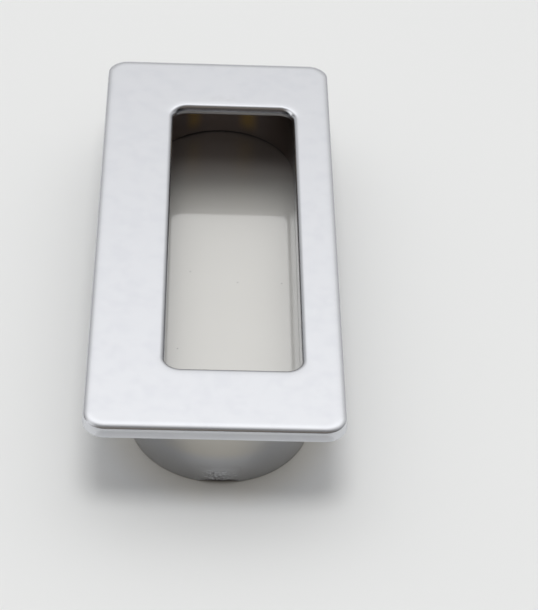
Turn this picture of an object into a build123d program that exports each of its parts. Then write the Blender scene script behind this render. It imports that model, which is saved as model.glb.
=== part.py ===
from build123d import *
from math import radians, tan
import os

# Flush pull for a sliding door or drawer: one casting, a face plate with a cup behind it, and a floor
# plate pressed into the back of the cup. The opening in the face is smaller than the cup on every side,
# so the fingers hook under its border, and the floor has to be a piece of its own.
# It lies face up: X runs across the pull, Y along it and Z out of the face. Z = 0 is the cup's rear rim
# and the Z axis passes through the middle of the face plate. Sizes are in millimetres.

# Face plate
plate_width = 50.0
plate_length = 120.0
plate_thickness = 2.35
plate_corner = 4.5        # radius of the four corners, seen from the front
shoulder_run = 2.0        # the face falls off softly over this width, all round
shoulder_drop = 0.4
shoulder_blend = 9.0      # radius between the face and the shoulder
edge_round = 0.5          # between the shoulder and the outer edge

# Cup, a slot with round ends, placed by how far the plate reaches past it at the rear rim
overall_depth = 18.0      # from the rear rim to the face
wide_flange = 8.2         # on the -X side
narrow_flange = 5.8       # on the +X side
end_flange = 3.95         # at both ends
cup_wall = 1.7            # at the rear rim
draft = 0.5               # degrees; the wall thins towards the rear, inside and outside
root_round = 0.6          # outside, between the cup and the back of the plate
rim_round = 0.3           # outside edge of the rear rim

# Opening in the face; its side borders are placed by how far they overhang the hollow
wide_grip = 5.25          # on the -X side, where the fingers pull
narrow_grip = 0.85        # on the +X side
end_reach = 4.65          # how far it runs past the centres of the cup's round ends
opening_corner = 3.2
lip_round = 0.6           # radius over the opening's front edge
finger_round = 1.0        # radius on the opening's back edge, where the fingertips pull
roof_round = 0.15         # in the corner between the hollow's wall and the border's underside

# Floor plate, pressed into a rebate in the rear rim
floor_thickness = 1.5
floor_inset = 0.8         # from the rear rim to the back of the floor plate
floor_break = 0.15        # bevel round the back of the floor plate
rim_width = 0.8           # wall left outside the rebate
seat_break = 0.25         # bevel on the seat's inner edge, the fine groove seen round the floor
press_clearance = 0.03    # between the floor plate's edge and the rebate, all round

# Gate scar, left where the casting was broken off its runner, on the rear rim at the -Y end
gate_width = 7.0
gate_height = 1.8
gate_stub = 0.35          # how far it stands out of the wall
gate_slope = 22.0         # degrees, of its broken sides

plate_back = overall_depth - plate_thickness
cup_width = plate_width - wide_flange - narrow_flange
cup_length = plate_length - 2 * end_flange
cup_middle = (wide_flange - narrow_flange) / 2
draft_run = plate_back * tan(radians(draft))
hollow_width = cup_width - 2 * cup_wall
hollow_length = cup_length - 2 * cup_wall
opening_width = hollow_width - 2 * draft_run - wide_grip - narrow_grip
opening_length = cup_length - cup_width + 2 * end_reach
opening_middle = cup_middle + (wide_grip - narrow_grip) / 2
rebate_width = cup_width - 2 * rim_width
rebate_length = cup_length - 2 * rim_width
seat_height = floor_inset + floor_thickness


def cup_slot(length, width):
    # A round-ended slot along Y, about the middle of the cup
    with Locations((cup_middle, 0)):
        SlotOverall(length, width, rotation=90)


os.makedirs("parts", exist_ok=True)

with BuildPart() as gate_scar:
    # The break, drawn from the -Y end: across the gate and up it, in shares of its width and height.
    # It starts below the rim, so that trimming it at the rim leaves it flat there.
    gate_break = [(-0.5, -1), (-0.5, 0.3), (-0.4, 0.75), (-0.27, 0.9), (-0.15, 0.72), (-0.02, 1),
                  (0.15, 0.78), (0.31, 0.94), (0.43, 0.6), (0.5, 0.2), (0.5, -1)]
    with BuildSketch(Plane.XZ.offset(cup_length / 2 - rim_width)):
        with BuildLine():
            Polyline([(cup_middle + gate_width * x, gate_height * z) for x, z in gate_break], close=True)
        make_face()
    extrude(amount=rim_width + gate_stub, taper=gate_slope)
    split(bisect_by=Plane.XY, keep=Keep.TOP)

with BuildPart() as handle_body:
    # Face plate, with a soft shoulder down to its outer edge
    with BuildSketch(Plane.XY.offset(plate_back)):
        RectangleRounded(plate_width, plate_length, plate_corner)
    extrude(amount=plate_thickness)
    face = handle_body.faces().sort_by(Axis.Z)[-1]
    chamfer(face.edges(), shoulder_run, shoulder_drop, reference=face)
    shoulder_levels = handle_body.edges().group_by(Axis.Z)[-3:]  # its foot, its corner seams, its top
    fillet(shoulder_levels[0], edge_round)
    fillet(handle_body.edges().group_by(Axis.Z)[-1], shoulder_blend)

    # Cup, drafted so that it leaves its die rearwards
    with BuildSketch(Plane.XY):
        cup_slot(cup_length, cup_width)
    extrude(amount=plate_back, taper=-draft)
    border_back = handle_body.faces().filter_by(Axis.Z).sort_by(Axis.Z)[1]
    fillet(border_back.inner_wires()[0].edges(), root_round)
    fillet(handle_body.edges().group_by(Axis.Z)[0], rim_round)
    add(gate_scar.part)

    # Hollow, drafted the other way for its core
    with BuildSketch(Plane.XY):
        cup_slot(hollow_length, hollow_width)
    extrude(amount=plate_back, taper=draft, mode=Mode.SUBTRACT)
    fillet(handle_body.edges(Select.LAST).group_by(Axis.Z)[-1], roof_round)

    # Rebate for the floor plate, and a bevel on the inner edge of the seat that it leaves
    with BuildSketch(Plane.XY):
        cup_slot(rebate_length, rebate_width)
    extrude(amount=seat_height, mode=Mode.SUBTRACT)
    seat = handle_body.faces().filter_by(Axis.Z).sort_by(Axis.Z)[1]
    chamfer(seat.inner_wires()[0].edges(), seat_break)

    # Opening through the face, its lip rounded in front and behind
    with BuildSketch(Plane.XY.offset(plate_back)):
        with Locations((opening_middle, 0)):
            RectangleRounded(opening_width, opening_length, opening_corner)
    extrude(amount=plate_thickness, mode=Mode.SUBTRACT)
    lip_edges = handle_body.edges(Select.LAST).group_by(Axis.Z)
    fillet(lip_edges[-1], lip_round)
    fillet(lip_edges[0], finger_round)

with BuildPart() as floor_plate:
    with BuildSketch(Plane.XY.offset(floor_inset)):
        cup_slot(rebate_length - 2 * press_clearance, rebate_width - 2 * press_clearance)
    extrude(amount=floor_thickness)
    chamfer(floor_plate.edges().group_by(Axis.Z)[0], floor_break)

handle_body.part.label = "handle_body"
export_step(handle_body.part, "parts/handle_body.step")
floor_plate.part.label = "floor_plate"
export_step(floor_plate.part, "parts/floor_plate.step")
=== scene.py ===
import math

import bpy
import numpy as np
from mathutils import Matrix, Vector


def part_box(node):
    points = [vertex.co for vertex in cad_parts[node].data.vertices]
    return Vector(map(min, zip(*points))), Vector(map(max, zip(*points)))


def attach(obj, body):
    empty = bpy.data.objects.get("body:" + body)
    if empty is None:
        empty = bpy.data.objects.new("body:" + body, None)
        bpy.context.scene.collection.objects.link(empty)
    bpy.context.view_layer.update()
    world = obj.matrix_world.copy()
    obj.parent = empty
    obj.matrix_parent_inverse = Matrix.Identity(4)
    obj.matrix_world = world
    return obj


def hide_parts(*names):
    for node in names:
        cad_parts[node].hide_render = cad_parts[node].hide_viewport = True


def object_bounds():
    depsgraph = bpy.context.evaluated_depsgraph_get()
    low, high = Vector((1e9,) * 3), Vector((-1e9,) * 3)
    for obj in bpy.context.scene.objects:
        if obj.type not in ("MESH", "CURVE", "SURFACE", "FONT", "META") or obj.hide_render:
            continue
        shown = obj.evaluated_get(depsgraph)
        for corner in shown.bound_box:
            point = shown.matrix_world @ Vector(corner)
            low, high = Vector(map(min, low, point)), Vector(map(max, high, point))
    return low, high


# A flush pull in satin chrome with a brushed floor plate, lying face up on a pale table.
# The casting is rebuilt as one fine surface round the fixed frame; the floor plate keeps its solid.

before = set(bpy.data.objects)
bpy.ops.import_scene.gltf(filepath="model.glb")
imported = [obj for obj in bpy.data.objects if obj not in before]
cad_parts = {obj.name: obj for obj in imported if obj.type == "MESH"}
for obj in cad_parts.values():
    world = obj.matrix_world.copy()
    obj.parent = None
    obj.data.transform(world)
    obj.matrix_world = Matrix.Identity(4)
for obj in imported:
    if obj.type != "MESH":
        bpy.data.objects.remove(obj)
solidLow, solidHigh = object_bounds()
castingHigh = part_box("handle_body")[1]
floorLow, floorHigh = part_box("floor_plate")
print("frame loaded:", ", ".join(sorted(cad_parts)))


def gridMesh(name, points, closed=True):
    # points is rows x columns x 3. Neighbours in a row and in a column share a quad; the last column
    # always meets the first, and the last row does when closed. The faces are turned if the signed
    # volume of the whole comes out negative.
    rows, columns = points.shape[:2]
    r, c = np.meshgrid(np.arange(rows if closed else rows - 1), np.arange(columns), indexing="ij")
    nextRow, nextColumn = (r + 1) % rows, (c + 1) % columns
    quads = np.stack([r * columns + c, r * columns + nextColumn,
                      nextRow * columns + nextColumn, nextRow * columns + c], axis=-1).reshape(-1, 4)
    flat = points.reshape(-1, 3)
    a, b, opposite, d = (flat[quads[:, corner]] for corner in range(4))
    volume = ((np.cross(b, opposite) + np.cross(opposite, d)) * a).sum()
    if volume < 0:
        quads = quads[:, ::-1]
    mesh = bpy.data.meshes.new(name)
    mesh.from_pydata(flat.tolist(), [], quads.tolist())
    mesh.polygons.foreach_set("use_smooth", np.ones(len(quads), bool))
    mesh.update()
    piece = bpy.data.objects.new(name, mesh)
    bpy.context.scene.collection.objects.link(piece)
    return piece


def quarter(radius, steps):
    # Points of a quarter circle: how far each has left one side, and how far it is from the other
    a = np.linspace(0, math.pi / 2, steps + 1)
    return radius * (1 - np.cos(a)), radius * (1 - np.sin(a))


def hump(t):
    # 1 at the middle, eased to 0 at a distance of 1
    t = np.clip(1 - np.abs(t), 0, 1)
    return t * t * (3 - 2 * t)


casting = {
    "thickness": 0.00235,     # of the face plate
    "plateCorner": 0.0045,
    "edgeRun": 0.0020,        # width over which the face falls off softly, all round
    "edgeDrop": 0.0004,
    "edgeRound": 0.00015,     # radius of the turn at its foot
    "edgeTurn": 81.0,         # slope in degrees from which the outer edge bows very slowly
    "edgeBow": 0.0289,        # radius of that bow
    "edgeFoot": 84.0,         # slope in degrees where it ends
    "edgeLean": 0.0002,       # how far the outer edge leans in by its top
    "edgeEnds": 0.00025,      # and how much more at the two ends
    "cupWall": 0.0017,        # at the rear rim
    "draft": 0.5,             # degrees
    "rootRound": 0.0006,      # outside, from the cup to the plate
    "rimRound": 0.0003,
    "rimWidth": 0.0008,       # wall left outside the floor plate
    "pressGap": 0.00003,
    "seatBreak": 0.0003,      # bevel on the seat's inner edge
    "wideGrip": 0.0051,       # how far the border overhangs the hollow, on -X
    "narrowGrip": 0.00062,    # and on +X
    "endReach": 0.00422,      # of the opening past the centres of the cup's round ends
    "mouthShift": -0.0002,    # of the opening, along the pull
    "mouthCorner": 0.0032,
    "lipRun": 0.0016,         # the same soft fall round the opening
    "lipDrop": 0.00004,
    "lipRound": 0.0013,
    "fingerRound": 0.00095,
    "roofRound": 0.00015,
    "burrRound": 0.00012,     # tumbling takes the sharpness off every cut edge
    "settle": 0.00003,        # flat kept beside each round, so that its shading stays on the round
    "fallSteps": 9, "arcSteps": 11, "burrSteps": 3, "rootSteps": 6, "rimSteps": 5,
    "roofSteps": 4, "fingerSteps": 8, "outsideSteps": 11, "insideSteps": 9,
    "sideSteps": 16, "cornerSteps": 24, "endSteps": 32,
}


def shoulder(k, run, drop, rounds):
    # Insets and drops over an edge: the fall grows as the cube of the way across the run, and each arc
    # of the rounds, a radius and an end slope in degrees, goes on from the slope before it
    s = np.linspace(0, 1, k["fallSteps"] + 1)
    across, fall = run * s, drop * s ** 3
    slope = math.atan(3 * drop / run)
    for radius, end in rounds:
        a = np.linspace(slope, math.radians(end), k["arcSteps"] + 1)[1:]
        across = np.append(across, across[-1] + radius * (np.sin(a) - math.sin(slope)))
        fall = np.append(fall, fall[-1] + radius * (math.cos(slope) - np.cos(a)))
        slope = a[-1]
    return across[-1] - across, fall


def castingSections(k):
    # The wall's section as a list of (outline, inset, height): from the opening's lip over the face and
    # the outer edge, along the back, down the cup, over its rim, up inside and back to the lip.
    top = castingHigh.z
    back = top - k["thickness"]
    seat = floorHigh.z
    lean = math.tan(math.radians(k["draft"]))
    settle, burr = k["settle"], k["burrRound"]
    rows = []

    def add(outline, inset, height):
        inset, height = np.broadcast_arrays(np.atleast_1d(inset), np.atleast_1d(height))
        rows.extend((outline, i, h) for i, h in zip(inset, height))

    inset, fall = shoulder(k, k["lipRun"], k["lipDrop"], [(k["lipRound"], 90)])
    add("mouth", -inset[::-1], top - fall[::-1])
    add("mouth", -inset[0] - settle, top)
    rounds = [(k["edgeRound"], k["edgeTurn"]), (k["edgeBow"], k["edgeFoot"])]
    inset, fall = shoulder(k, k["edgeRun"], k["edgeDrop"], rounds)
    add("plate", inset[0] + settle, top)
    add("plate", inset, top - fall)
    left, ahead = quarter(burr, k["burrSteps"])
    add("plate", left, back + ahead)
    add("plate", burr + settle, back)

    root, rim = k["rootRound"], k["rimRound"]
    add("cup", -back * lean - root - settle, back)
    left, ahead = quarter(root, k["rootSteps"])
    h = back - left
    add("cup", -h * lean - ahead, h)
    h = np.linspace(back - root, rim, k["outsideSteps"] + 1)[1:-1]
    add("cup", -h * lean, h)
    left, h = quarter(rim, k["rimSteps"])
    add("cup", -h * lean + left, h)
    add("cup", rim + settle, 0)

    edge = k["rimWidth"]
    add("cup", edge - burr - settle, 0)
    left, ahead = quarter(burr, k["burrSteps"])
    add("cup", edge - ahead, left)
    add("cup", edge, [seat - settle, seat])
    add("cup", edge + settle, seat)
    inner, bevel, roof = k["cupWall"], k["seatBreak"], k["roofRound"]
    add("cup", inner + seat * lean - bevel - settle, seat)
    add("cup", inner + seat * lean - bevel, seat)
    add("cup", inner + (seat + bevel) * lean, seat + bevel)
    h = np.linspace(seat + bevel + settle, back - roof, k["insideSteps"] + 1)[:-1]
    add("cup", inner + h * lean, h)
    left, ahead = quarter(roof, k["roofSteps"])
    h = back - ahead
    add("cup", inner + h * lean + left, h)
    add("cup", inner + back * lean + roof + settle, back)

    finger = k["fingerRound"]
    add("mouth", -finger - settle, back)
    left, ahead = quarter(finger, k["fingerSteps"])
    add("mouth", -ahead, back + left)
    return rows


def castingOutlines(k):
    # Half width, half length, corner radius and middle of each outline, worked out from the frame
    back = castingHigh.z - k["thickness"]
    run = back * math.tan(math.radians(k["draft"]))
    around = k["rimWidth"] + k["pressGap"]
    halfCup = (floorHigh.x - floorLow.x) / 2 + around
    halfCupLength = (floorHigh.y - floorLow.y) / 2 + around
    middle = (floorLow.x + floorHigh.x) / 2
    low = middle - halfCup + k["cupWall"] + run + k["wideGrip"]
    high = middle + halfCup - k["cupWall"] - run - k["narrowGrip"]
    return {
        "plate": (castingHigh.x, castingHigh.y, k["plateCorner"], 0.0),
        "cup": (halfCup, halfCupLength, halfCup, middle),
        "mouth": ((high - low) / 2, halfCupLength - halfCup + k["endReach"], k["mouthCorner"],
                  (low + high) / 2),
    }


scar = {
    "width": 0.0080, "height": 0.0042,
    "columns": 110, "rows": 50, "seed": 5,
    "relief": 0.00026,                     # height of the torn bumps
    "bumps": (12, 27),                     # how many go across, in two sizes
    "contrast": 1.7, "sunk": 0.35,         # how sharply they rise, and how much of them stays flat
    "fadeFrom": 0.5, "fadeEnd": 0.9545,    # shares of the height between which they die away
    "sideFade": 0.5,                       # power of their fade to the sides
    "bite": 0.0009,                        # how far the break goes in below them
    "biteHeight": 0.0011,
    "teeth": 8,                            # across its ragged upper edge
    "teethLow": 0.55, "teethRange": 0.6,   # of its height: where they start and how far they reach
    "biteSoft": 0.0004,                    # height over which it deepens
    "biteFade": 0.4,                       # power of its fade to the sides
    "depth": 0.0008,                       # how far the piece is rooted in the wall
    "proud": 0.00001,                      # how far its skin stands off the wall
    "hollow": 1.3,                         # how far the rim gives way behind it, as a share of the bite
    "hollowAcross": 0.5556,                # as a share of the width, from the middle
    "hollowUp": 1.8,                       # as a share of the bite's height
}


def castingPoints(k):
    # Each section point is carried round its outline in four quarters. A quarter runs up the straight
    # side, round the corner and along the end; on the cup the corner's arc takes the end's share too.
    outlines = castingOutlines(k)
    names, inset, height = (np.array(column)[:, None] for column in zip(*castingSections(k)))
    isPlate, isCup, isMouth = (names == name for name in ("plate", "cup", "mouth"))
    halfWidth, halfLength, corner, middle = np.array([outlines[name] for name in names[:, 0]]).T[..., None]
    isUpper = height > castingHigh.z - k["thickness"] + 2 * k["burrRound"]
    ends = np.where(isPlate & isUpper, k["edgeEnds"] * np.clip(inset / k["edgeLean"], 0, 1), 0)
    halfLength = halfLength - inset - ends
    halfWidth, corner = halfWidth - inset, corner - inset

    steps = k["sideSteps"] + k["cornerSteps"] + k["endSteps"]
    v = np.arange(steps) / steps
    share = np.concatenate([v, 1 - v, v, 1 - v])[None, :]
    signX = np.repeat([1, -1, -1, 1], steps)[None, :]
    signY = np.repeat([1, 1, -1, -1], steps)[None, :]
    sideShare, cornerShare = k["sideSteps"] / steps, k["cornerSteps"] / steps
    arcShare = np.where(isCup, 1 - sideShare, cornerShare)
    up = np.clip(share / sideShare, 0, 1)
    turn = np.clip((share - sideShare) / arcShare, 0, 1) * math.pi / 2
    across = np.clip((share - sideShare - cornerShare) / (1 - sideShare - cornerShare), 0, 1)
    across = np.where(isCup, 0.0, across)
    shift = np.where(isMouth, k["mouthShift"], 0.0)
    x = middle + signX * ((halfWidth - corner) * (1 - across) + corner * np.cos(turn))
    y = shift + signY * ((halfLength - corner) * up + corner * np.sin(turn))
    # Where the gate broke off, the outside of the rim gives way to the scar's own piece
    isOutside = isCup & (inset < k["rimRound"] + 2 * k["settle"]) & (y < 0)
    across = (x - middle) / (scar["width"] * scar["hollowAcross"])
    hollow = hump(across) * hump(height / (scar["biteHeight"] * scar["hollowUp"]))
    y = y + np.where(isOutside, scar["bite"] * scar["hollow"], 0) * hollow
    return np.stack([x, y, np.broadcast_to(height, x.shape)], axis=-1)


def makeCasting(k):
    piece = gridMesh("pullCasting", castingPoints(k))
    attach(piece, "root")
    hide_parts("handle_body")
    return piece


pullCasting = makeCasting(casting)
print("casting built:", len(pullCasting.data.polygons), "faces")


def lattice(u, v, cells, seed):
    # Smooth random surface: values on a lattice of the given number of cells, eased between neighbours
    values = np.random.default_rng(seed).random((cells + 2, cells + 2))
    x, y = u * cells, v * cells
    i, j = np.floor(x).astype(int), np.floor(y).astype(int)
    s, t = x - i, y - j
    s, t = s * s * (3 - 2 * s), t * t * (3 - 2 * t)
    near = values[i, j] * (1 - s) + values[i + 1, j] * s
    far = values[i, j + 1] * (1 - s) + values[i + 1, j + 1] * s
    return near * (1 - t) + far * t


def scarPoints(k):
    # A patch on the near end of the cup: across by width, up by height. It stands out of the round wall
    # by the relief times two sizes of tearing, and below a ragged line it goes in by the bite. A second
    # skin inside the wall closes it round, and each end row is drawn in to its middle.
    halfCup, halfLength, _, middle = castingOutlines(casting)["cup"]
    u, v = np.meshgrid(np.linspace(0, 1, k["columns"]), np.linspace(0, 1, k["rows"]), indexing="ij")
    x, z = (u - 0.5) * k["width"], v * k["height"]
    sides = hump(2 * u - 1)
    fade = sides ** k["sideFade"] * hump(np.clip((v - k["fadeFrom"]) / (k["fadeEnd"] - k["fadeFrom"]), 0, 1))
    torn = sum(lattice(u, v, cells, k["seed"] + i) for i, cells in enumerate(k["bumps"])) / len(k["bumps"])
    teeth = lattice(u, 0 * v, k["teeth"], k["seed"] + len(k["bumps"]))
    sides = sides ** k["biteFade"]
    line = k["biteHeight"] * (k["teethLow"] + k["teethRange"] * teeth) * sides
    bite = k["bite"] * sides * np.clip((line - z) / k["biteSoft"] + 0.5, 0, 1)
    out = k["relief"] * fade * np.clip(k["contrast"] * torn - k["sunk"], 0, 1) - bite
    lean = math.tan(math.radians(casting["draft"]))
    rim = casting["rimRound"]
    curl = rim - np.sqrt(np.clip(rim ** 2 - np.clip(rim - z, 0, rim) ** 2, 0, None))
    wall = -(halfLength - halfCup) - np.sqrt((halfCup + z * lean) ** 2 - x ** 2) + curl
    front = np.stack([middle + x, wall - out - k["proud"], z], axis=-1)
    rear = np.stack([middle + x, wall + k["depth"], z], axis=-1)
    ring = np.concatenate([front, rear[:, ::-1]], axis=1)
    ends = ring.mean(axis=1, keepdims=True) + 0 * ring
    return np.concatenate([ends[:1], ring, ends[-1:]], axis=0)


def makeScar(k):
    piece = gridMesh("gateScar", scarPoints(k), closed=False)
    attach(piece, "root")
    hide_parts("handle_body")
    return piece


gateScar = makeScar(scar)
print("gate scar built")


class Wire:
    # A socket that arithmetic works on: each operator adds its Math node

    def __init__(self, tree, socket=None):
        self.tree = tree
        self.socket = socket

    def node(self, kind, settings=None, inputs=None, output=0):
        made = self.tree.nodes.new("ShaderNode" + kind)
        for key, value in (settings or {}).items():
            if key == "stops":  # of a ramp, eased from one to the next
                made.color_ramp.interpolation = "EASE"
                stops = made.color_ramp.elements
                while len(stops) < len(value):
                    stops.new(1.0)
                for stop, (place, shade) in zip(stops, value):
                    stop.position = place
                    stop.color = (*shade, 1) if isinstance(shade, tuple) else (shade, shade, shade, 1)
            else:
                setattr(made, key, value)
        for key, value in (inputs or {}).items():
            if isinstance(value, Wire):
                self.tree.links.new(value.socket, made.inputs[key])
            else:
                made.inputs[key].default_value = value
        return Wire(self.tree, made.outputs[output] if len(made.outputs) else None)

    def math(self, operation, *values):
        return self.node("Math", {"operation": operation}, dict(enumerate(values)))

    def __add__(self, other):
        return self.math("ADD", self, other)

    def __radd__(self, other):
        return self.math("ADD", other, self)

    def __sub__(self, other):
        return self.math("SUBTRACT", self, other)

    def __rsub__(self, other):
        return self.math("SUBTRACT", other, self)

    def __mul__(self, other):
        return self.math("MULTIPLY", self, other)

    def __rmul__(self, other):
        return self.math("MULTIPLY", other, self)

    def __truediv__(self, other):
        return self.math("DIVIDE", self, other)

    def __rtruediv__(self, other):
        return self.math("DIVIDE", other, self)

    def __pow__(self, other):
        return self.math("POWER", self, other)

    def __rpow__(self, other):
        return self.math("POWER", other, self)

    def __abs__(self):
        return self.math("ABSOLUTE", self)

    def rise(self, start, end):
        # 0 before start, 1 after end, eased between them
        return self.node("MapRange", {"interpolation_type": "SMOOTHSTEP"},
                         {"Value": self, "From Min": start, "From Max": end})

    def fall(self, start, end):
        # 1 before start, 0 after end
        return 1 - self.rise(start, end)

    def axes(self, place, names):
        return [self.node("SeparateXYZ", {}, {0: place}, name) for name in names]

    def noise(self, place, scale, detail=2.0, roughness=0.5):
        return self.node("TexNoise", {}, {"Vector": place, "Scale": scale, "Detail": detail,
                                          "Roughness": roughness})

    def stretch(self, place, factors):
        return self.node("VectorMath", {"operation": "MULTIPLY"}, {0: place, 1: factors})

    def spot(self, place, centre, core, size):
        # 1 within the core's distance from the centre, eased to 0 at the size
        distance = self.node("VectorMath", {"operation": "DISTANCE"}, {0: place, 1: centre}, "Value")
        return distance.fall(core, size)

    def cupReach(self, place):
        # Distance from the cup's middle line, which runs between the centres of its round ends
        halfCup, halfLength, _, middle = castingOutlines(casting)["cup"]
        x, y = self.axes(place, "XY")
        pastEnd = self.math("MAXIMUM", abs(y) - (halfLength - halfCup), 0.0)
        return ((x - middle) ** 2 + pastEnd ** 2) ** 0.5

    def blend(self, amount, first, second):
        # From the first colour to the second
        return self.node("Mix", {"data_type": "RGBA"}, {"Factor": amount, 6: first, 7: second}, 2)

    def bump(self, height):
        # Relief in metres, at its true height
        return self.node("Bump", {}, {"Height": height, "Strength": 1.0, "Distance": 1.0})


def newMaterial(name):
    material = bpy.data.materials.new(name)
    material.use_nodes = True
    material.node_tree.nodes.clear()
    start = Wire(material.node_tree)
    return material, start, start.node("TexCoord", output="Object")


def finishMaterial(start, surface):
    start.node("OutputMaterial", {}, {"Surface": start.node("BsdfPrincipled", {}, surface)})


def dress(piece, material):
    piece.data.materials.clear()
    piece.data.materials.append(material)


satin = {
    "colour": (0.72, 0.73, 0.76, 1),
    "shade": (0.70, 0.71, 0.745, 1),      # in the patches where the plating is a touch greyer
    "patchScale": 260, "patchGrain": 0.6, "shadeAt": (0.4, 0.7),
    "dull": (0.50, 0.505, 0.52, 1),       # darker and rougher on the outside of the cup, below the border
    "dullSkin": (-0.001, -0.0006),        # from that outside
    "dullTop": (-0.0002, 0.0),            # from the border's underside
    "dullEdge": 0.15,                     # share of it on the plate's upright edge
    "edgeSkin": (-0.0006, -0.0002),       # from that edge
    "edgeTop": (-0.0011, -0.0005),        # from the face
    "warm": (0.58, 0.52, 0.40, 1),        # painted warm reflection, high on the cup's near end
    "warmSheen": 0.42,
    "warmHeight": (0.0055, 0.0085), "warmAcross": (0.003, 0.014), "warmAlong": (-0.054, -0.045),
    "hollowEndShade": (0.54, 0.48, 0.44, 1),        # painted shade at the hollow's far end, under the border
    "deepAlong": (0.036, 0.046), "deepSkin": (-0.0014, -0.001), "deepTop": (-0.001, 0.0),
    "goldenReflection": (1.0, 0.74, 0.34, 1),        # painted reflection: two golden streaks of warm light inside, down the far end
    "goldenReflections": [(-0.0052, 0.0025, 0.8), (0.0071, 0.0030, 1.0)],  # across, half width and how strong
    "goldenReflectionHeight": (0.0025, 0.0065),
    "smudge": (0.45, 0.42, 0.40, 1),      # on the far border, short along the pull
    "smudgeAt": (0.0008, 0.0455, 0.018), "smudgeSize": 0.006, "smudgeShort": 4,
    "smudgePatch": (0.35, 0.6), "smudgeDepth": 0.15,
    "nick": (0.05, 0.045, 0.04, 1),       # small and dark, on the opening's lip
    "nickAt": (0.0167, -0.0254, 0.0174), "nickCore": 0.000175, "nickSize": 0.00035, "nickDepth": 0.9,
    "torn": (0.17, 0.16, 0.17, 1),        # torn metal at the gate scar; also the colour of painted shade at its foot and on the joint's bevel
    "wallJointShadeHeight": (0.0003, 0.0004),       # from the floor
    "wallJointShadeReach": (0.0170, 0.0171), "wallJointShadeDepth": 0.5,
    "scarMarkAcross": (0.0014, 0.0042), "scarMarkAlong": (-0.053, -0.052), "scarMarkDepth": 0.9,
    "footShadeHeight": (0.0006, 0.0012),       # painted shade, solid up to here at the scar's foot, and torn metal in speckles above
    "speckleHeight": (0.0012, 0.0030), "speckleScale": 1300, "speckleGrain": 0.6,
    "speckleAt": (0.42, 0.56), "speckleDepth": 0.3,
    "roughness": 0.25, "dullRoughness": 0.1, "edgeRoughness": 0.2,
    "cloud": 0.02, "cloudScale": 70,      # how much the roughness drifts
    "grain": 0.0000001, "grainScale": 5200,  # height of the fine pearl grain
    "wave": 0.000002, "waveScale": 60,    # height of the casting's slow waviness
}


def satinChrome(k):
    # Each zone is a product of eased masks over the place, and blends its colour over what lies below
    material, start, place = newMaterial("satinChrome")
    cloud = start.noise(place, k["cloudScale"], 3)
    patch = start.noise(place, k["patchScale"], 3, k["patchGrain"])
    grain = start.noise(place, k["grainScale"], 2)
    wave = start.noise(place, k["waveScale"], 1)
    speckle = start.noise(place, k["speckleScale"], 2, k["speckleGrain"]).rise(*k["speckleAt"])
    x, y, height = start.axes(place, "XYZ")
    halfCup, _, _, middle = castingOutlines(casting)["cup"]
    reach = start.cupReach(place)
    fromOutside = reach - halfCup
    fromFace = height - castingHigh.z
    fromUnder = height - (castingHigh.z - casting["thickness"])
    fromEdge = start.math("MAXIMUM", abs(x) - castingHigh.x, abs(y) - castingHigh.y)

    outside = fromOutside.rise(*k["dullSkin"]) * fromUnder.fall(*k["dullTop"])
    edge = fromEdge.rise(*k["edgeSkin"]) * fromFace.fall(*k["edgeTop"])
    # painted warm reflection high on the cup's near end, just below the border
    warmSheen = height.rise(*k["warmHeight"]) * abs(x).fall(*k["warmAcross"]) * y.fall(*k["warmAlong"])
    inside = y.rise(*k["deepAlong"]) * fromOutside.fall(*k["deepSkin"]) * fromUnder.fall(*k["deepTop"])
    # painted shade on the wall just above the floor, on the joint's bevel
    wallJointShade = (height - floorHigh.z).fall(*k["wallJointShadeHeight"]) * reach.fall(*k["wallJointShadeReach"])
    short = (1, k["smudgeShort"], 1)
    centre = tuple(at * factor for at, factor in zip(k["smudgeAt"], short))
    smudge = start.spot(start.stretch(place, short), centre, 0.0, k["smudgeSize"])
    nick = start.spot(place, k["nickAt"], k["nickCore"], k["nickSize"])
    # painted shade, solid at the scar's foot, with torn metal in speckles above
    footShadeAndSpeckles = height.fall(*k["footShadeHeight"]) + height.fall(*k["speckleHeight"]) * speckle * k["speckleDepth"]
    bareAndShade = abs(x - middle).fall(*k["scarMarkAcross"]) * y.fall(*k["scarMarkAlong"]) * footShadeAndSpeckles

    colour = start.blend(patch.rise(*k["shadeAt"]), k["colour"], k["shade"])
    colour = start.blend(start.math("MAXIMUM", outside, edge * k["dullEdge"]), colour, k["dull"])
    colour = start.blend(warmSheen * outside * k["warmSheen"], colour, k["warm"])
    # painted shade at the hollow's far end
    colour = start.blend(inside, colour, k["hollowEndShade"])
    # painted reflection: two golden streaks of warm light down the far end
    for across, width, strength in k["goldenReflections"]:
        streak = abs(x - across).fall(0.0, width) * height.rise(*k["goldenReflectionHeight"])
        colour = start.blend(streak * inside * strength, colour, k["goldenReflection"])
    # painted shade on the joint's bevel
    colour = start.blend(wallJointShade * k["wallJointShadeDepth"], colour, k["torn"])
    colour = start.blend(smudge * patch.rise(*k["smudgePatch"]) * k["smudgeDepth"], colour, k["smudge"])
    # torn metal at the gate scar, with painted shade at its foot
    colour = start.blend(start.math("MINIMUM", bareAndShade, k["scarMarkDepth"]), colour, k["torn"])
    colour = start.blend(nick * k["nickDepth"], colour, k["nick"])
    rough = k["roughness"] + (cloud + patch - 1.0) * k["cloud"]
    rough = rough + outside * k["dullRoughness"] + edge * k["edgeRoughness"]
    relief = start.bump(grain * k["grain"] + wave * k["wave"])
    finishMaterial(start, {"Base Color": colour, "Metallic": 1.0, "Roughness": rough, "Normal": relief})
    return material


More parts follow.
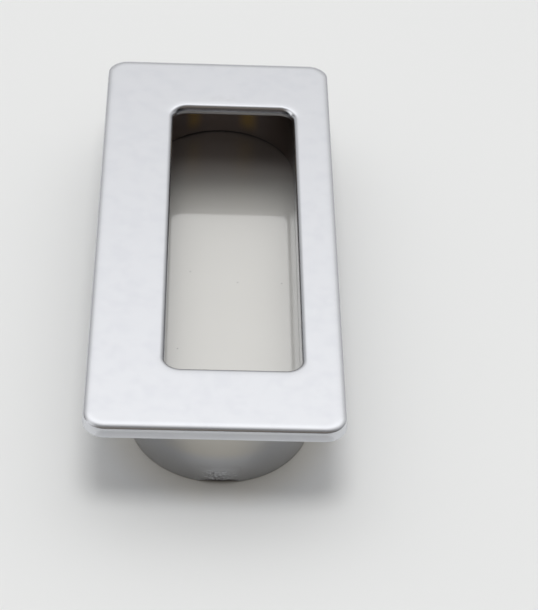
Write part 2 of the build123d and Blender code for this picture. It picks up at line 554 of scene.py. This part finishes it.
plate = {
    "colour": (0.665, 0.655, 0.623, 1),
    "metal": 0.74,                        # the rest scatters as a matt grey
    "roughness": 0.47,
    "haze": 0.04, "hazeScale": 110,       # how much the roughness drifts
    "gloss": 0.06, "glossIor": 2.3,       # the hard clear coat over the brushed metal
    "brush": 0.0000006,                   # height of the faint lengthwise lines
    "lines": (4000, 60, 60),              # scale of their noise, fine across and long along the pull
    "floorEndShade": (0.46, 0.41, 0.395, 1), "floorEndShadeAlong": (0.031, 0.046),  # painted shade along the far end, under the border
    "floorEndShadeDepth": 0.8,
    # dark colour of the dirt marks, and of the painted shade at the joint
    "dirtAndShade": (0.12, 0.11, 0.115, 1),
    "plateJointShade": (0.0162, 0.0165), "plateJointShadeDepth": 0.7,  # painted shade in the corner at the joint, by the distance from the middle line
    "specks": [(-0.00756, -0.0204), (0.0048, 0.0008), (0.0142, 0.0008), (-0.0053, 0.0040)],
    "speckSize": 0.00024,
    "notch": (0.0022, 0.0543), "notchSize": 0.00035,  # on the joint at the far end
    "markCore": 0.4, "markDepth": 0.45,   # share of a mark that is full, and how dark it is
}


def brushedPlate(k):
    # Painted shade grows along the plate towards its far end and towards its joint; the marks are dark spots
    # of dirt over them
    material, start, place = newMaterial("brushedPlate")
    lines = start.noise(start.stretch(place, k["lines"]), 1.0, 2)
    rough = k["roughness"] + (start.noise(place, k["hazeScale"], 3) - 0.5) * k["haze"]
    # painted shade at the floor's far end, under the border
    floorEndShade = start.axes(place, "Y")[0].rise(*k["floorEndShadeAlong"])
    # painted shade towards the joint with the wall
    plateJointShade = start.cupReach(place).rise(*k["plateJointShade"])
    colour = start.blend(floorEndShade * k["floorEndShadeDepth"], k["colour"], k["floorEndShade"])
    colour = start.blend(plateJointShade * k["plateJointShadeDepth"], colour, k["dirtAndShade"])
    marks = [(at, k["speckSize"]) for at in k["specks"]] + [(k["notch"], k["notchSize"])]
    for at, size in marks:
        dirtAndShade = start.spot(place, (*at, floorHigh.z), size * k["markCore"], size)
        colour = start.blend(dirtAndShade * k["markDepth"], colour, k["dirtAndShade"])
    finishMaterial(start, {
        "Base Color": colour, "Metallic": k["metal"], "Roughness": rough,
        "Normal": start.bump(lines * k["brush"]),
        "Coat Weight": 1.0, "Coat Roughness": k["gloss"], "Coat IOR": k["glossIor"]})
    return material


satinMaterial = satinChrome(satin)
dress(pullCasting, satinMaterial)
dress(gateScar, satinMaterial)
dress(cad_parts["floor_plate"], brushedPlate(plate))
print("finishes set")


studio = {
    "tableSize": 4.0,
    "table": (0.83, 0.835, 0.83, 1), "tableRoughness": 0.6,
    "contactShadow": (0.16, 0.12, 0.075, 1),     # painted contact shadow, a warm dark line where the cup meets the table
    "contactShadowStart": -0.0004, "contactShadowWidth": 0.0003, "contactShadowPower": 2.0,
    "scarContactShadow": 0.0018,                 # how much wider it is below the gate scar
    "scarAcross": (0.0022, 0.0042), "scarAlong": (-0.05, -0.04),
    "glow": (0.81, 0.785, 0.73, 1), "glowWidth": 0.008,  # the warm light thrown back round the cup
    "ambient": 0.40, "farLight": 2.2,     # what matt surfaces get: even light, and more from the far side
    "lampPower": 7.0, "lampSize": 0.7, "lampHeight": 1.5,
    "backdrop": (0.80, 0.81, 0.81, 1),
    "room": (2.0, 2.0, 2.0),              # strength of what metal sees; the stops below are shares of it
    "sideways": (0.3, 0.8),               # how far a ray leans to a side as that side's stops take over
    # From the far horizon at 0, over the top, to the near one at 1. Ahead, a big soft light hangs 60
    # degrees up, and whoever looks on stands dark and a little warm over the near half
    "ahead": [(0.0, 0.27), (0.08, 0.27), (0.33, 0.70), (0.50, 0.10), (0.55, (0.09, 0.08, 0.07)),
              (0.67, (0.09, 0.075, 0.06)), (0.72, (0.036, 0.032, 0.030)),
              (0.94, (0.036, 0.032, 0.030)), (1.0, 0.12)],
    # On the left a second light hangs nearly overhead, over a dim wall
    "left": [(0.0, 0.20), (0.08, 0.26), (0.28, 0.08), (0.51, 0.68), (0.75, 0.0)],
    # On the right there is only the dim wall
    "right": [(0.0, 0.14), (0.17, 0.29), (0.36, 0.13), (0.46, 0.14), (0.66, 0.0)],
}


def makeTable(k):
    # A flat top. A painted contact shadow follows the cup's foot and swells at the gate scar, and past it a
    # glow fades
    half = k["tableSize"] / 2
    mesh = bpy.data.meshes.new("tableTop")
    corners = [(-half, -half, 0), (half, -half, 0), (half, half, 0), (-half, half, 0)]
    mesh.from_pydata(corners, [], [(0, 1, 2, 3)])
    table = bpy.data.objects.new("tableTop", mesh)
    bpy.context.scene.collection.objects.link(table)
    material, start, place = newMaterial("paleTable")
    halfCup, _, _, middle = castingOutlines(casting)["cup"]
    x, y = start.axes(place, "XY")
    bitten = abs(x - middle).fall(*k["scarAcross"]) * y.fall(*k["scarAlong"])
    fromFoot = start.cupReach(place) + bitten * scar["bite"] - halfCup
    # painted contact shadow round the cup's foot, wider below the gate scar
    contactShadow = fromFoot.fall(k["contactShadowStart"], k["contactShadowWidth"] + bitten * k["scarContactShadow"])
    colour = start.blend(fromFoot.fall(0.0, k["glowWidth"]), k["table"], k["glow"])
    colour = start.blend(contactShadow ** k["contactShadowPower"], colour, k["contactShadow"])
    finishMaterial(start, {"Base Color": colour, "Roughness": k["tableRoughness"]})
    dress(table, material)


def makeWorld(k):
    # Metal sees the room, read off three ramps by the angle over the pull, one straight ahead and one for
    # each side. Matt surfaces get an even light instead, and more of it the higher and further a ray goes.
    world = bpy.data.worlds.new("softStudio")
    bpy.context.scene.world = world
    world.use_nodes = True
    world.node_tree.nodes.clear()
    start = Wire(world.node_tree)
    x, y, z = start.axes(start.node("TexCoord", output="Generated"), "XYZ")
    around = start.math("ARCTAN2", z, y) / math.pi
    ahead, left, right = (start.node("ValToRGB", {"stops": k[side]}, {0: around})
                          for side in ("ahead", "left", "right"))
    room = start.blend(x.rise(*k["sideways"]), ahead, right)
    room = start.blend((x * -1.0).rise(*k["sideways"]), room, left)
    isGlossy = start.node("LightPath", output="Is Glossy Ray")
    isCamera = start.node("LightPath", output="Is Camera Ray")
    soft = k["ambient"] + k["farLight"] * start.math("MAXIMUM", y, 0.0) * start.math("MAXIMUM", z, 0.0)
    soft = start.node("CombineColor", {}, {channel: soft for channel in range(3)})
    seen = start.blend(isGlossy, soft, start.stretch(room, k["room"]))
    seen = start.blend(isCamera, seen, k["backdrop"])
    light = start.node("Background", {}, {"Color": seen, "Strength": 1.0})
    start.node("OutputWorld", {}, {"Surface": light})


def makeLamp(k):
    # Straight overhead, for the soft shadow round the foot; metal sees the room instead
    light = bpy.data.lights.new("topLamp", "AREA")
    light.shape = "DISK"
    light.size = k["lampSize"]
    light.energy = k["lampPower"]
    lamp = bpy.data.objects.new("topLamp", light)
    lamp.location = (0, 0, k["lampHeight"])
    lamp.visible_glossy = False
    bpy.context.scene.collection.objects.link(lamp)


view = {
    "lens": 124.0, "clip": 0.01,
    "elevation": 41.29, "turn": -2.91, "tilt": 3.28,  # in degrees
    "distance": 0.4185, "aim": (0.0105, -0.02407),    # from and to this point of the face
}


def makeCamera(k):
    # The camera looks at a point on the face, from the near end, turned and tilted a little
    up, turn, tilt = (math.radians(k[name]) for name in ("elevation", "turn", "tilt"))
    back = Vector((math.sin(turn) * math.cos(up), -math.cos(turn) * math.cos(up), math.sin(up)))
    level = Vector((math.cos(turn), math.sin(turn), 0))
    right = math.cos(tilt) * level + math.sin(tilt) * back.cross(level)
    upright = back.cross(right)
    aim = Vector((*k["aim"], solidHigh.z))
    lens = bpy.data.cameras.new("viewCamera")
    lens.lens = k["lens"]
    lens.clip_start = k["clip"]
    camera = bpy.data.objects.new("viewCamera", lens)
    turned = Matrix((right, upright, back)).transposed().to_4x4()
    camera.matrix_world = Matrix.Translation(aim + back * k["distance"]) @ turned
    bpy.context.scene.collection.objects.link(camera)
    bpy.context.scene.camera = camera


makeTable(studio)
makeWorld(studio)
makeLamp(studio)
makeCamera(view)
bpy.context.scene.view_settings.view_transform = "Standard"
print("studio set")
